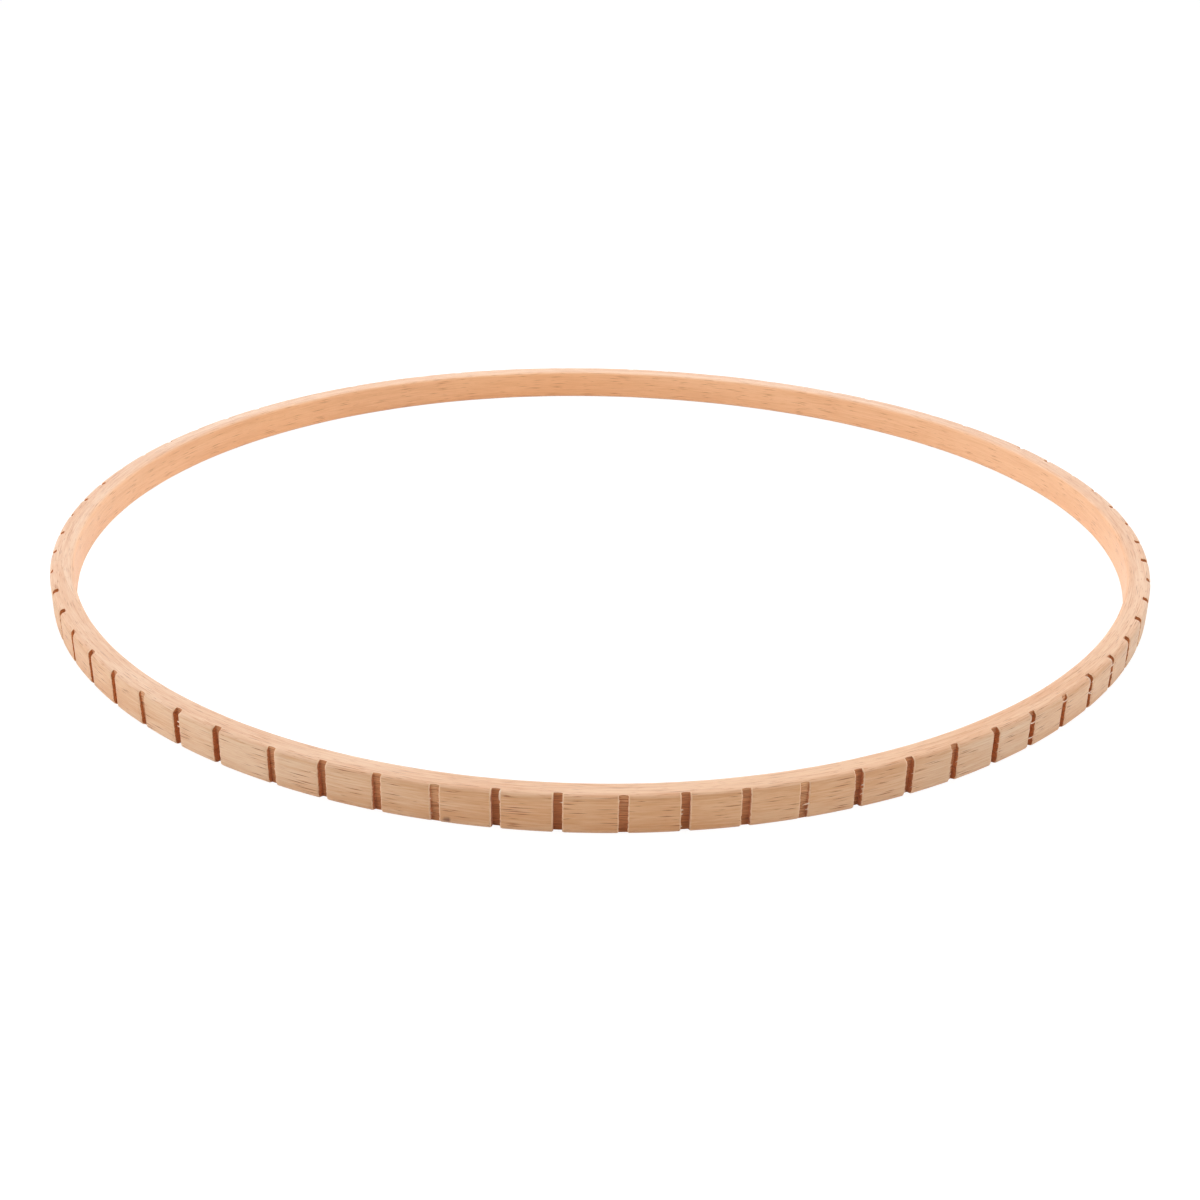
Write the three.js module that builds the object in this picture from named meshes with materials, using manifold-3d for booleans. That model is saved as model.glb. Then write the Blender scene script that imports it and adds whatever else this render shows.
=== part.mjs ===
// Circular weaving loom: one beech lath, bent into a hoop and closed by a glued scarf joint,
// with saw cuts round its outer face that hold the warp threads.
// Millimetres, +Z up. The origin is on the table, under the middle of the hoop.
// Angles are in degrees, counter-clockwise from +X as seen from above.

import * as THREE from 'three';
import { mergeVertices } from 'three/addons/utils/BufferGeometryUtils.js';
import Module from 'manifold-3d';

// The lath and the hoop that it is bent to
const HOOP_DIAMETER = 280;
const LATH_THICKNESS = 5.8;
const LATH_HEIGHT = 8.7;
const OUTER_EDGE_RADIUS = 1.2;
const INNER_EDGE_RADIUS = 1;

// Bending leaves the hoop a little oval, a little three-cornered and a little four-cornered
const OVAL_RISE = 2;
const OVAL_DIRECTION = 6;
const TRIANGLE_RISE = 1.1;
const TRIANGLE_DIRECTION = 19;
const SQUARE_RISE = 0.36;
const SQUARE_DIRECTION = 11;

// A gang of saw blades makes the cuts, one gang after another round the hoop.
// Each gang is set by eye, so it stands a little off an even spacing and cuts a little deeper
// or shallower. The saw leans, so each cut is deeper at its lower end. Depths are at half height.
const GANG_SLIPS = [0, 0.3, 0.6, 0.05, -0.05, 1.05, 1.3, 1.15, 1, 0.95, 0.6, 0.3];
const GANG_DEPTHS = [0, 0.1, 0.3, 0.2, 0, 0, -0.1, 0.1, 0.5, 0.5, 0.2, 0];
const BLADE_DEPTHS = [1.1, 1.4, 1.15, 0.8, 1.6, 1.5];
const KERF_WIDTH = 1.8;
const CUT_LEAN = 0.5;
const FIRST_CUT_ANGLE = 90.9;

// The scarf is blunt at both ends. Its outer nib is deeper than any saw cut,
// so that no cut takes off the tip of the upper lap.
const SCARF_LENGTH = 30;
const SCARF_GANG = 3;
const SCARF_BLADE = 2;
const OUTER_NIB_COVER = 0.3;
const INNER_NIB_DEPTH = 0.6;
const GLUE_THICKNESS = 0.2;
const GLUE_CLEARANCE = 0.05;

// Facets, and how far a cutter runs past the wood
const HOOP_STEPS = 144;
const EDGE_STEPS = 3;
const SCARF_STEPS = 12;
const CUTTER_OVERRUN = 2;

const BEECH = new THREE.MeshStandardMaterial({ color: '#e3b892', roughness: 0.72, metalness: 0 });
const DRIED_GLUE = new THREE.MeshStandardMaterial({ color: '#cfa978', roughness: 0.5, metalness: 0 });

const FULL_TURN = 360;
const RIGHT_ANGLE = 90;
const HALF = 0.5;

const hoopRadius = HOOP_DIAMETER * HALF;
const cutPitch = FULL_TURN / (GANG_SLIPS.length * BLADE_DEPTHS.length);
const deepestCut = Math.max(...BLADE_DEPTHS) + Math.max(...GANG_DEPTHS) + CUT_LEAN * HALF;
const outerNibDepth = deepestCut + OUTER_NIB_COVER;
const scarfKerf = GLUE_THICKNESS + 2 * GLUE_CLEARANCE;

const radians = THREE.MathUtils.degToRad;
const degrees = THREE.MathUtils.radToDeg;

const wasm = await Module();
wasm.setup();

// How far the outer face stands outside a true circle at an angle
function rise(angle) {
  const oval = OVAL_RISE * Math.cos(2 * radians(angle - OVAL_DIRECTION));
  const triangle = TRIANGLE_RISE * Math.cos(3 * radians(angle - TRIANGLE_DIRECTION));
  const square = SQUARE_RISE * Math.cos(4 * radians(angle - SQUARE_DIRECTION));
  return oval + triangle + square;
}

// A point in plan, at an angle and a depth below the outer face
function pointInHoop(angle, depth) {
  const radius = hoopRadius + rise(angle) - depth;
  return new THREE.Vector2(radius * Math.cos(radians(angle)), radius * Math.sin(radians(angle)));
}

function cutAngle(gang, blade) {
  return FIRST_CUT_ANGLE + (gang * BLADE_DEPTHS.length + blade) * cutPitch + GANG_SLIPS[gang];
}

// A closed geometry as a solid that can be cut
function solidFrom(geometry) {
  geometry.deleteAttribute('normal');
  geometry.deleteAttribute('uv');
  const merged = mergeVertices(geometry);
  const mesh = new wasm.Mesh({
    numProp: 3,
    vertProperties: new Float32Array(merged.attributes.position.array),
    triVerts: new Uint32Array(merged.index.array),
  });
  return new wasm.Manifold(mesh);
}

function geometryFrom(solid) {
  const mesh = solid.getMesh();
  const geometry = new THREE.BufferGeometry();
  geometry.setAttribute('position', new THREE.BufferAttribute(mesh.vertProperties, 3));
  geometry.setIndex(new THREE.BufferAttribute(mesh.triVerts, 1));
  geometry.computeVertexNormals();
  return geometry;
}

// One rounded edge of the section, as points on a quarter circle
function roundedEdge(radius, centreX, centreZ, startAngle) {
  const points = [];
  for (let step = 0; step <= EDGE_STEPS; step += 1) {
    const angle = radians(startAngle + (RIGHT_ANGLE * step) / EDGE_STEPS);
    points.push(new THREE.Vector2(centreX + radius * Math.cos(angle), centreZ + radius * Math.sin(angle)));
  }
  return points;
}

// The lath's section: flat faces with rounded edges, rounder outside than inside
function lathSection() {
  const outerX = hoopRadius - OUTER_EDGE_RADIUS;
  const innerX = hoopRadius - LATH_THICKNESS + INNER_EDGE_RADIUS;
  const section = [
    ...roundedEdge(OUTER_EDGE_RADIUS, outerX, LATH_HEIGHT - OUTER_EDGE_RADIUS, 0),
    ...roundedEdge(INNER_EDGE_RADIUS, innerX, LATH_HEIGHT - INNER_EDGE_RADIUS, RIGHT_ANGLE),
    ...roundedEdge(INNER_EDGE_RADIUS, innerX, INNER_EDGE_RADIUS, 2 * RIGHT_ANGLE),
    ...roundedEdge(OUTER_EDGE_RADIUS, outerX, OUTER_EDGE_RADIUS, 3 * RIGHT_ANGLE),
  ];
  return [...section, section[0].clone()];
}

// The plain hoop before any cut: the section turned round the axis, then pushed out of round
function plainHoop() {
  const hoop = new THREE.LatheGeometry(lathSection(), HOOP_STEPS);
  hoop.rotateX(radians(RIGHT_ANGLE));
  const position = hoop.attributes.position;
  for (let index = 0; index < position.count; index += 1) {
    const x = position.getX(index);
    const y = position.getY(index);
    const radius = Math.hypot(x, y);
    const stretch = 1 + rise(degrees(Math.atan2(y, x))) / radius;
    position.setXY(index, x * stretch, y * stretch);
  }
  return solidFrom(hoop);
}

// The path of one saw blade through the outer face, from below the hoop to above it
function sawCut(angle, depth) {
  const length = depth + CUTTER_OVERRUN;
  const cutter = new THREE.BoxGeometry(length, KERF_WIDTH, LATH_HEIGHT + 2 * CUTTER_OVERRUN);
  cutter.translate(length * HALF, 0, 0);
  cutter.rotateY(Math.atan2(CUT_LEAN, LATH_HEIGHT));
  cutter.translate(hoopRadius + rise(angle) - depth, 0, LATH_HEIGHT * HALF);
  cutter.rotateZ(radians(angle));
  return solidFrom(cutter);
}

function sawnHoop() {
  let hoop = plainHoop();
  for (const gang of GANG_SLIPS.keys()) {
    for (const [blade, depth] of BLADE_DEPTHS.entries()) {
      hoop = hoop.subtract(sawCut(cutAngle(gang, blade), depth + GANG_DEPTHS[gang]));
    }
  }
  return hoop;
}

// The scarf in plan: in at the outer nib, along the slope and out at the inner nib.
// The outer nib stands halfway between two saw cuts.
function scarfLine() {
  const startAngle = cutAngle(SCARF_GANG, SCARF_BLADE) + cutPitch * HALF;
  const sweep = degrees(SCARF_LENGTH / hoopRadius);
  const slopeEnd = LATH_THICKNESS - INNER_NIB_DEPTH;
  const points = [pointInHoop(startAngle, -CUTTER_OVERRUN)];
  for (let step = 0; step <= SCARF_STEPS; step += 1) {
    const share = step / SCARF_STEPS;
    const depth = THREE.MathUtils.lerp(outerNibDepth, slopeEnd, share);
    points.push(pointInHoop(startAngle + sweep * share, depth));
  }
  points.push(pointInHoop(startAngle + sweep, LATH_THICKNESS + CUTTER_OVERRUN));
  return points;
}

// A line moved sideways by a distance, with mitred corners
function offsetLine(points, distance) {
  const directions = points.slice(1).map((point, index) => point.clone().sub(points[index]).normalize());
  return points.map((point, index) => {
    const before = directions[Math.max(index - 1, 0)];
    const after = directions[Math.min(index, directions.length - 1)];
    const mitre = before.clone().add(after).normalize();
    const reach = distance / mitre.dot(after);
    return new THREE.Vector2(point.x - mitre.y * reach, point.y + mitre.x * reach);
  });
}

// A sheet of even thickness that stands on the scarf line, right through the hoop
function scarfSheet(thickness) {
  const line = scarfLine();
  const leftSide = offsetLine(line, thickness * HALF);
  const rightSide = offsetLine(line, -thickness * HALF);
  const outline = new THREE.Shape([...leftSide, ...rightSide.reverse()]);
  const sheet = new THREE.ExtrudeGeometry(outline, {
    depth: LATH_HEIGHT + 2 * CUTTER_OVERRUN,
    bevelEnabled: false,
  });
  sheet.translate(0, 0, -CUTTER_OVERRUN);
  return solidFrom(sheet);
}

function namedMesh(name, solid, material) {
  const mesh = new THREE.Mesh(geometryFrom(solid), material);
  mesh.name = name;
  return mesh;
}

function weavingLoom() {
  const hoop = sawnHoop();
  const lath = namedMesh('hoop_lath', hoop.subtract(scarfSheet(scarfKerf)), BEECH);
  const glue = namedMesh('scarf_glue', hoop.intersect(scarfSheet(GLUE_THICKNESS)), DRIED_GLUE);
  const loom = new THREE.Group();
  loom.add(lath, glue);

  // The out-of-round hoop is centred on its outline
  const middle = new THREE.Box3().setFromObject(lath).getCenter(new THREE.Vector3());
  loom.position.set(-middle.x, -middle.y, 0);
  return loom;
}

export default weavingLoom();
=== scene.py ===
"""Looks of a circular weaving loom: a bent beech hoop with saw cuts round its outer face.

The hoop is swept station by station along the bent lath, with the arrises, walls and floors of its
saw cuts, both laps of its scarf joint, the glue film in it, and the fibres that the saw left standing.
Lengths are in millimetres and angles in degrees, counter-clockwise from +X as seen from above.
"""

import math
from typing import NamedTuple

import bpy
import numpy as np
from mathutils import Matrix, Vector


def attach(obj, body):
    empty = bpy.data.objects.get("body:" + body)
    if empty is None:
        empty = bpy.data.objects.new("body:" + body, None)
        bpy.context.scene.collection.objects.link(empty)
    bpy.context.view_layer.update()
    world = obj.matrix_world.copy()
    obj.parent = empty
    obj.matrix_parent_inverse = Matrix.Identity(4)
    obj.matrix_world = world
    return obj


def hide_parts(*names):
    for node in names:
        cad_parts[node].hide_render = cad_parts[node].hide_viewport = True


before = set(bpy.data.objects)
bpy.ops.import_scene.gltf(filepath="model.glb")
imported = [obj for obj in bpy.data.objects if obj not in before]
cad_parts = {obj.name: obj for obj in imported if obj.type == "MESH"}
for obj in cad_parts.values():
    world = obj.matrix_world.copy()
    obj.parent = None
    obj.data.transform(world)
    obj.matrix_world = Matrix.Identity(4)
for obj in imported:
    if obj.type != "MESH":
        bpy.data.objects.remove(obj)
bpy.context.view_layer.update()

MM = 0.001
FULL_TURN = 360.0
SEED = 28
NOISE_MIDDLE = 0.5

# The lath and the hoop that it is bent to, as the solids have them
HOOP_RADIUS = 140.0
LATH_THICKNESS = 5.8
LATH_HEIGHT = 8.7
OUTER_EDGE_RADIUS = 1.2
INNER_EDGE_RADIUS = 1.0
OVAL_RISE = 2.0
OVAL_DIRECTION = 6.0
TRIANGLE_RISE = 1.1
TRIANGLE_DIRECTION = 19.0
SQUARE_RISE = 0.36
SQUARE_DIRECTION = 11.0

# The saw cuts, made by a gang of blades that is set by eye and leans a little
GANG_SLIPS = (0.0, 0.3, 0.6, 0.05, -0.05, 1.05, 1.3, 1.15, 1.0, 0.95, 0.6, 0.3)
GANG_DEPTHS = (0.0, 0.1, 0.3, 0.2, 0.0, 0.0, -0.1, 0.1, 0.5, 0.5, 0.2, 0.0)
BLADE_DEPTHS = (1.1, 1.4, 1.15, 0.8, 1.6, 1.5)
KERF_WIDTH = 1.8
CUT_LEAN = 0.5
FIRST_CUT_ANGLE = 90.9

# The scarf joint: a nib at the outer face, a slope, and a nib at the inner face
SCARF_LENGTH = 30.0
SCARF_GANG = 3
SCARF_BLADE = 2
OUTER_NIB_COVER = 0.3
INNER_NIB_DEPTH = 0.6
GLUE_THICKNESS = 0.06
GLUE_CLEARANCE = 0.005
GLUE_SHRINKAGE = 0.01

# What sanding and sawing left on the surface. A size is along the lath and across it.
SANDING_LOSS = 0.05
WAVE_DEPTH = 0.035
WAVE_SIZE = (7.0, 2.6)
ARRIS_WIDTH = 0.26
ARRIS_DROP = 0.16
ARRIS_FADE = 0.5
CHIP_SIZE = (0.9, 0.45)
CHIP_LEAST = 0.6
RAGGED_EDGE = 0.1
RAGGED_SIZE = (0.9, 0.28)
CUT_FLOOR_ROUGHNESS = 0.05
CUT_FLOOR_SIZE = (0.5, 0.3)
WORN_END = 0.14
WORN_SHARE = 0.1

# A small dark bruise on the lower outer edge
BRUISE_ANGLE = 257.95
BRUISE_HEIGHT = 1.1
BRUISE_LENGTH = 0.55
BRUISE_SPREAD = 0.85
BRUISE_DENT = 0.16

# How finely the hoop and its glue are divided
OUTLINE_SAMPLES = 2881
EDGE_SAMPLES = 24
NORMAL_STEP = 0.02
OUTER_ROWS = 34
SIDE_ROWS = 5
INNER_ROWS = 26
LAND_STEP = 0.85
FEWEST_STEPS = 2
LAP_STEP = 1.0
NIB_STEPS = 9
SLOPE_STEPS = 31
GLUE_ROWS = 9
CUT_FLOOR_PLACES = (-1.0, -0.7, -0.25, 0.25, 0.7, 1.0)
WALL_SHARES = (0.35, 0.7)
PLAIN_SPLIT = 3.4
SPLIT_FADE = 5.0
CUT_FLAT = 0.65
SHARP_ANGLE = 32.0

# The layout of the hoop's own texture map
BAKE_MAP = "OFBake"
MAP_BANDS = 6
MAP_MARGIN = 0.8

half_kerf = KERF_WIDTH / 2
cut_pitch = FULL_TURN / (len(GANG_SLIPS) * len(BLADE_DEPTHS))
deepest_cut = max(BLADE_DEPTHS) + max(GANG_DEPTHS) + CUT_LEAN / 2
outer_nib_depth = deepest_cut + OUTER_NIB_COVER
joint_gap = GLUE_THICKNESS + 2 * GLUE_CLEARANCE
half_gap_angle = math.degrees(joint_gap / 2 / HOOP_RADIUS)


def cut_angle(gang, blade):
    return FIRST_CUT_ANGLE + (gang * len(BLADE_DEPTHS) + blade) * cut_pitch + GANG_SLIPS[gang]


scarf_start = cut_angle(SCARF_GANG, SCARF_BLADE) + cut_pitch / 2
scarf_end = scarf_start + math.degrees(SCARF_LENGTH / HOOP_RADIUS)

WHOLE, OUTER_LAP, INNER_LAP = range(3)
OUTER_END = SIDE_ROWS + OUTER_ROWS
LAP_END = OUTER_END + SIDE_ROWS
ROWS = LAP_END + INNER_ROWS


def rise(angle):
    """How far the outer face stands outside a true circle."""
    oval = OVAL_RISE * np.cos(2 * np.radians(angle - OVAL_DIRECTION))
    triangle = TRIANGLE_RISE * np.cos(3 * np.radians(angle - TRIANGLE_DIRECTION))
    square = SQUARE_RISE * np.cos(4 * np.radians(angle - SQUARE_DIRECTION))
    return oval + triangle + square


def hoop_centre():
    """The middle of the bent circle, in the frame whose origin is under the middle of the outline."""
    angle = np.linspace(0.0, FULL_TURN, OUTLINE_SAMPLES)
    radius = HOOP_RADIUS + rise(angle)
    x = radius * np.cos(np.radians(angle))
    y = radius * np.sin(np.radians(angle))
    return np.array([-(x.min() + x.max()) / 2, -(y.min() + y.max()) / 2, 0.0])


def places(angle, offset, depth, height):
    """Points at an angle round the hoop, moved along its tangent, at a depth below the outer face."""
    angle, offset, depth, height = np.broadcast_arrays(angle, offset, depth, height)
    radius = HOOP_RADIUS - SANDING_LOSS - depth
    turned = np.radians(angle) + np.arcsin(offset / radius)
    radius = radius + rise(np.degrees(turned))
    return np.stack([radius * np.cos(turned), radius * np.sin(turned), height], axis=-1) + hoop_centre()


def lattice_places(values, step):
    """The lattice row below each value, and a smooth share of the way to the next row."""
    scaled = values / step
    scaled = scaled - np.floor(scaled.min())
    low = np.floor(scaled).astype(int)
    share = scaled - low
    return low, share**2 * (3 - 2 * share)


def smooth_noise(random, along, across, size):
    """Seeded values from 0 to 1 that change smoothly over steps of the given size."""
    along_step, across_step = size
    row, row_share = lattice_places(along, along_step)
    column, column_share = lattice_places(across, across_step)
    lattice = random.random((row.max() + 2, column.max() + 2))
    near = lattice[row, column] * (1 - column_share) + lattice[row, column + 1] * column_share
    far = lattice[row + 1, column] * (1 - column_share) + lattice[row + 1, column + 1] * column_share
    return near * (1 - row_share) + far * row_share


class Section:
    """The lath's section. Lengths run along its outline, upwards from the middle of the outer face."""

    def __init__(self):
        turn = np.linspace(0.0, math.pi / 2, EDGE_SAMPLES)
        outer = OUTER_EDGE_RADIUS
        inner = INNER_EDGE_RADIUS
        inner_start = LATH_THICKNESS - inner
        outer_depth = outer * (1 - np.cos(turn))
        outer_height = LATH_HEIGHT - outer + outer * np.sin(turn)
        inner_depth = inner_start + inner * np.sin(turn)
        inner_height = LATH_HEIGHT - inner + inner * np.cos(turn)
        middle = LATH_HEIGHT / 2
        self.depth = np.concatenate([[0.0], outer_depth, inner_depth, [LATH_THICKNESS]])
        self.height = np.concatenate([[middle], outer_height, inner_height, [middle]])
        steps = np.hypot(np.diff(self.depth), np.diff(self.height))
        self.length = np.concatenate([[0.0], np.cumsum(steps)])
        self.half = self.length[-1]

    def point(self, length):
        """Depth and height at a length along the outline, either way round."""
        folded = (length + self.half) % (2 * self.half) - self.half
        depth = np.interp(np.abs(folded), self.length, self.depth)
        height = np.interp(np.abs(folded), self.length, self.height)
        return depth, np.where(folded < 0, LATH_HEIGHT - height, height)

    def inward(self, length):
        """Depth and height parts of the inward normal."""
        depth_before, height_before = self.point(length - NORMAL_STEP)
        depth_after, height_after = self.point(length + NORMAL_STEP)
        along_depth = depth_after - depth_before
        along_height = height_after - height_before
        size = np.hypot(along_depth, along_height)
        return along_height / size, -along_depth / size

    def length_to(self, depth):
        """Length from the middle of the outer face up to where the outline reaches a depth."""
        return np.interp(depth, self.depth, self.length)


class Station(NamedTuple):
    """One loop of the sweep. A stepped station shares the points of the one before that don't move."""

    angle: float
    offset: float = 0.0
    sunk: float = 0.0
    arris: float = 0.0
    lap: int = WHOLE
    stepped: bool = False


def saw_cuts():
    """Angle and depth of each cut, in order from the scarf's outer nib."""
    cuts = []
    for gang in range(len(GANG_SLIPS)):
        for blade, depth in enumerate(BLADE_DEPTHS):
            angle = cut_angle(gang, blade)
            cuts.append(((angle - scarf_start) % FULL_TURN + scarf_start, depth + GANG_DEPTHS[gang]))
    return sorted(cuts)


def land_stations(start, end):
    """Stations between two cuts, without the ones at its ends."""
    steps = max(FEWEST_STEPS, round(math.radians(end - start) * HOOP_RADIUS / LAND_STEP))
    return [Station(angle) for angle in np.linspace(start, end, steps + 1)[1:-1]]


def cut_stations(angle):
    """Stations across one cut: arris, wall, floor, wall and arris."""
    shoulder = half_kerf + ARRIS_WIDTH
    left = [Station(angle, -shoulder), Station(angle, -half_kerf, arris=1.0)]
    left += [Station(angle, -half_kerf, sunk=share, stepped=True) for share in WALL_SHARES]
    floor = [Station(angle, place * half_kerf, sunk=1.0) for place in CUT_FLOOR_PLACES]
    floor[0] = floor[0]._replace(stepped=True)
    right = [Station(angle, half_kerf, sunk=share, stepped=True) for share in reversed(WALL_SHARES)]
    right += [Station(angle, half_kerf, arris=1.0, stepped=True), Station(angle, shoulder)]
    return left + floor + right


def plan_angle(station):
    return station.angle + math.degrees(station.offset / HOOP_RADIUS)


def with_inner_nib(stations):
    """The stations of the outer lap end at the inner nib, where the lath becomes whole."""
    nib = scarf_end + half_gap_angle
    after = next(place for place, station in enumerate(stations) if plan_angle(station) > nib)
    before = stations[after - 1]
    offset = HOOP_RADIUS * math.sin(math.radians(nib - before.angle))
    end = before._replace(offset=offset, arris=0.0, stepped=False)
    lap = [station._replace(lap=OUTER_LAP) for station in [*stations[:after], end]]
    return [*lap, end._replace(stepped=True), *stations[after:]]


def lath_stations(cuts):
    """All stations, from the blunt end of the outer lap to the tip of the inner lap."""
    edge = math.degrees((half_kerf + ARRIS_WIDTH) / HOOP_RADIUS)
    start = scarf_start + half_gap_angle
    end = scarf_start + FULL_TURN - half_gap_angle
    stations = [Station(start)]
    for angle, _ in cuts:
        stations += land_stations(start, angle - edge)
        stations += cut_stations(angle)
        start = angle + edge
    stations += land_stations(start, end)
    stations.append(Station(end))
    tip = scarf_end + FULL_TURN - half_gap_angle
    lap_count = round(SCARF_LENGTH / LAP_STEP) + 1
    lap = [Station(angle, lap=INNER_LAP) for angle in np.linspace(end, tip, lap_count)]
    lap[0] = lap[0]._replace(stepped=True)
    return with_inner_nib(stations) + lap


def cut_depths_at(angle, cuts):
    """The depth that splits the outer rows from the rest: level across each cut, sloping between cuts."""
    knots = []
    depths = []
    for middle, depth in cuts:
        knots += [middle - CUT_FLAT, middle + CUT_FLAT]
        depths += [depth, depth]
    return np.interp(angle, knots, depths)


def lap_depths_at(angle):
    """The depth of the scarf, and a plain depth where there is none."""
    half_gap = joint_gap / 2
    slope_end = LATH_THICKNESS - INNER_NIB_DEPTH
    turn_end = scarf_start + FULL_TURN
    knots = [scarf_start, scarf_end, scarf_end + SPLIT_FADE]
    depths = [outer_nib_depth - half_gap, slope_end - half_gap, PLAIN_SPLIT]
    knots += [turn_end - SPLIT_FADE, turn_end, scarf_end + FULL_TURN]
    depths += [PLAIN_SPLIT, outer_nib_depth + half_gap, slope_end + half_gap]
    return np.interp(angle, knots, depths)


def row_lengths(to_foot, to_head, to_lap, half):
    """Outline lengths of all rows: below the cut, the outer face, above the cut, and the inner side."""
    share = np.linspace(0.0, 1.0, SIDE_ROWS, endpoint=False)
    below = -to_lap + (to_lap - to_foot) * share
    above = to_head + (to_lap - to_head) * share
    outer = -to_foot + (to_foot + to_head) * np.linspace(0.0, 1.0, OUTER_ROWS, endpoint=False)
    inner = to_lap + 2 * (half - to_lap) * np.linspace(0.0, 1.0, INNER_ROWS, endpoint=False)
    return np.concatenate([below, outer, above, inner], axis=1)


class Sweep:
    """Depths, heights and places of every row at every station."""

    def __init__(self, stations, cuts):
        self.section = Section()
        self.stations = stations
        self.random = np.random.default_rng(SEED)
        columns = [np.array(column)[:, None] for column in zip(*stations)]
        self.angle, self.offset, self.sunk, self.arris, self.lap, self.stepped = columns
        self.plan = self.angle + np.degrees(self.offset / HOOP_RADIUS)
        self.along = np.radians(self.plan - scarf_start) * HOOP_RADIUS
        cut_depth = cut_depths_at(self.plan, cuts)
        to_foot = self.section.length_to(cut_depth + CUT_LEAN / 2)
        to_head = self.section.length_to(cut_depth - CUT_LEAN / 2)
        to_lap = self.section.length_to(lap_depths_at(self.plan))
        self.length = row_lengths(to_foot, to_head, to_lap, self.section.half)
        self.depth, self.height = self.section.point(self.length)
        self.shape_surface(to_foot, to_head)
        self.sink_cuts(to_foot, to_head)
        self.part_laps(to_lap)

    def shape_surface(self, to_foot, to_head):
        """Takes the sanding waves and the broken arrises off the plain section."""
        depth_part, height_part = self.section.inward(self.length)
        self.flat = np.abs(height_part)
        along = self.along + 0 * self.length
        loss = WAVE_DEPTH * smooth_noise(self.random, along, self.length, WAVE_SIZE)
        chips = smooth_noise(self.random, along, self.length, CHIP_SIZE)
        to_end = np.minimum(to_foot + self.length, to_head - self.length)
        reach = np.clip(to_end / ARRIS_FADE, 0.0, 1.0)
        loss = loss + self.arris * reach * ARRIS_DROP * (CHIP_LEAST + chips)
        self.depth = self.depth + loss * depth_part
        self.height = self.height + loss * height_part

    def sink_cuts(self, to_foot, to_head):
        """Moves the outer rows of sunk stations to the floor of the cut, and frays its edges."""
        rows = slice(SIDE_ROWS, OUTER_END + 1)
        share = np.linspace(0.0, 1.0, OUTER_ROWS + 1)
        foot_depth, foot_height = self.section.point(-to_foot)
        head_depth, _ = self.section.point(to_head)
        middle = 1.0 - (self.offset / half_kerf) ** 2
        worn_depth, head_height = self.section.point(to_head + WORN_END * np.clip(middle, 0.0, 1.0))
        worn = np.clip((share - 1.0) / WORN_SHARE + 1.0, 0.0, 1.0) ** 2 * (worn_depth - head_depth)
        floor_height = foot_height + (head_height - foot_height) * share
        along = self.along + 0 * floor_height
        rough = smooth_noise(self.random, along, floor_height, CUT_FLOOR_SIZE) - NOISE_MIDDLE
        inside = np.minimum(share, 1.0 - share) > 0.0
        floor_depth = foot_depth + (head_depth - foot_depth) * share + worn
        floor_depth = floor_depth + CUT_FLOOR_ROUGHNESS * rough * inside
        self.depth[:, rows] += self.sunk * (floor_depth - self.depth[:, rows])
        self.height[:, rows] += self.sunk * (floor_height - self.height[:, rows])
        fray = smooth_noise(self.random, along, floor_height, RAGGED_SIZE) - NOISE_MIDDLE
        edge = (np.abs(np.abs(self.offset) - half_kerf) < ARRIS_WIDTH / 2) * (1.0 - self.sunk)
        self.sideways = np.zeros_like(self.length)
        self.sideways[:, rows] = 2 * RAGGED_EDGE * fray * edge * inside

    def part_laps(self, to_lap):
        """Flattens the rows of each lap that lie on the scarf."""
        depth, height = self.section.point(to_lap)
        low = LATH_HEIGHT - height
        inner_share = np.linspace(0.0, 1.0, INNER_ROWS, endpoint=False)
        outer_share = np.linspace(0.0, 1.0, LAP_END + 1)
        outer = (self.lap == OUTER_LAP)[:, 0]
        inner = (self.lap == INNER_LAP)[:, 0]
        self.depth[outer, LAP_END:] = depth[outer]
        self.height[outer, LAP_END:] = (height + (low - height) * inner_share)[outer]
        self.depth[inner, : LAP_END + 1] = depth[inner]
        self.height[inner, : LAP_END + 1] = (low + (height - low) * outer_share)[inner]

    def points(self):
        return places(self.angle, self.offset + self.sideways, self.depth, self.height)

    def index(self):
        """Point numbers by station and row, with the shared points of stepped stations named once."""
        index = np.arange(self.length.size).reshape(self.length.shape)
        for number in np.flatnonzero(self.stepped):
            moves = self.moving_rows(number)
            index[number, ~moves] = index[number - 1, ~moves]
        return index

    def moving_rows(self, number):
        """Which rows of a stepped station stand apart from the station before."""
        moves = np.zeros(ROWS, bool)
        laps = {self.stations[number - 1].lap, self.stations[number].lap}
        if laps == {OUTER_LAP, WHOLE}:
            moves[LAP_END + 1 :] = True
        elif laps == {INNER_LAP, WHOLE}:
            moves[1:LAP_END] = True
        else:
            moves[SIDE_ROWS + 1 : OUTER_END] = True
        return moves


class Faces(NamedTuple):
    """Faces of the sweep as stations and rows of their corners. A triangle's last corner is unused."""

    stations: np.ndarray
    rows: np.ndarray
    vertices: np.ndarray
    sides: np.ndarray


def sweep_faces(index):
    """Faces between neighbouring stations. Those with no width are left out."""
    station, row = np.meshgrid(np.arange(index.shape[0] - 1), np.arange(ROWS), indexing="ij")
    station = station.ravel()
    row = row.ravel()
    stations = np.stack([station, station + 1, station + 1, station], axis=1)
    rows = np.stack([row, row, row + 1, row + 1], axis=1)
    vertices = index[stations, rows % ROWS]
    lower_closed = vertices[:, 0] == vertices[:, 1]
    upper_closed = vertices[:, 2] == vertices[:, 3]
    order = np.tile(np.arange(4), (len(station), 1))
    order[lower_closed] = [0, 2, 3, 3]
    sides = np.where(lower_closed | upper_closed, 3, 4)
    kept = ~(lower_closed & upper_closed)
    pick = np.arange(len(station))[:, None]
    corners = [values[pick, order][kept] for values in (stations, rows, vertices)]
    return Faces(*corners, sides[kept])


def corner_mask(faces):
    """True for each used corner of each face."""
    return np.arange(4) < faces.sides[:, None]


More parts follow.
